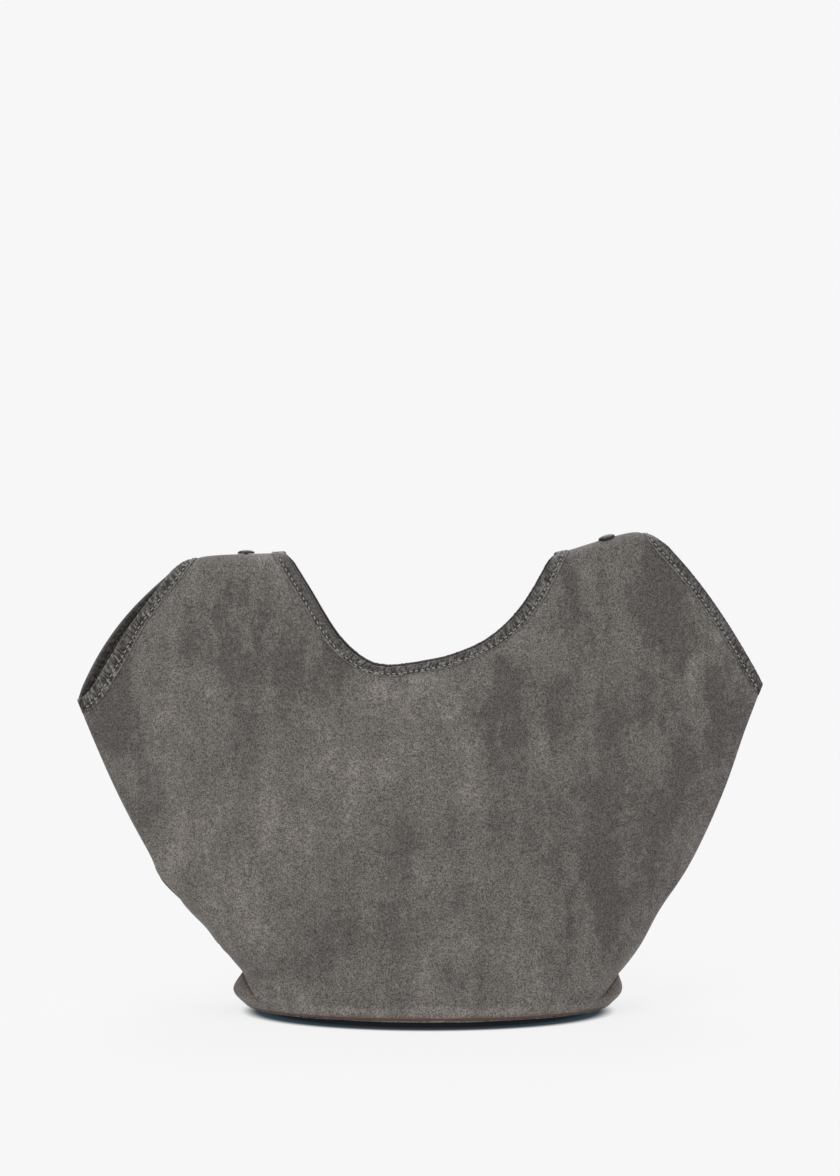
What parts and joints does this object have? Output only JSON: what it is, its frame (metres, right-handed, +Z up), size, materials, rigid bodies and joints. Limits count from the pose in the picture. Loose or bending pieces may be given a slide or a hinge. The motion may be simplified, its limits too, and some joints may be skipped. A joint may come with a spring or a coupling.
{
  "type": "shopper tote",
  "caption": "Soft suede shopper tote cut like a sleeveless vest: bound neck opening, bound side openings, riveted shoulders and a flat oval bottom.",
  "frame": {"origin": "middle of the span between the side tips, on the ground plane under the flat bottom", "axes": "+X to the right seen from the front, along the span; +Y from the front to the back; +Z up"},
  "size_m": [0.602, 0.1456, 0.4191],
  "materials": {
    "suede": "grey suede with a short soft nap",
    "binding": "dark grey smooth leather, lightly creased",
    "board": "plain stiffener board",
    "lining": "plain matte cloth",
    "rivet": "dark gunmetal"
  },
  "bodies": {
    "root": {"front_panel": "suede", "back_panel": "suede", "base_panel": "suede", "neck_binding": "binding", "side_binding_left": "binding", "side_binding_right": "binding", "shoulder_patch_left": "binding", "shoulder_patch_right": "binding", "base_board": "board", "base_lining": "lining", "rivet_cap_left": "rivet", "rivet_cap_right": "rivet", "rivet_post_left": "rivet", "rivet_post_right": "rivet"}
  },
  "joints": []
}
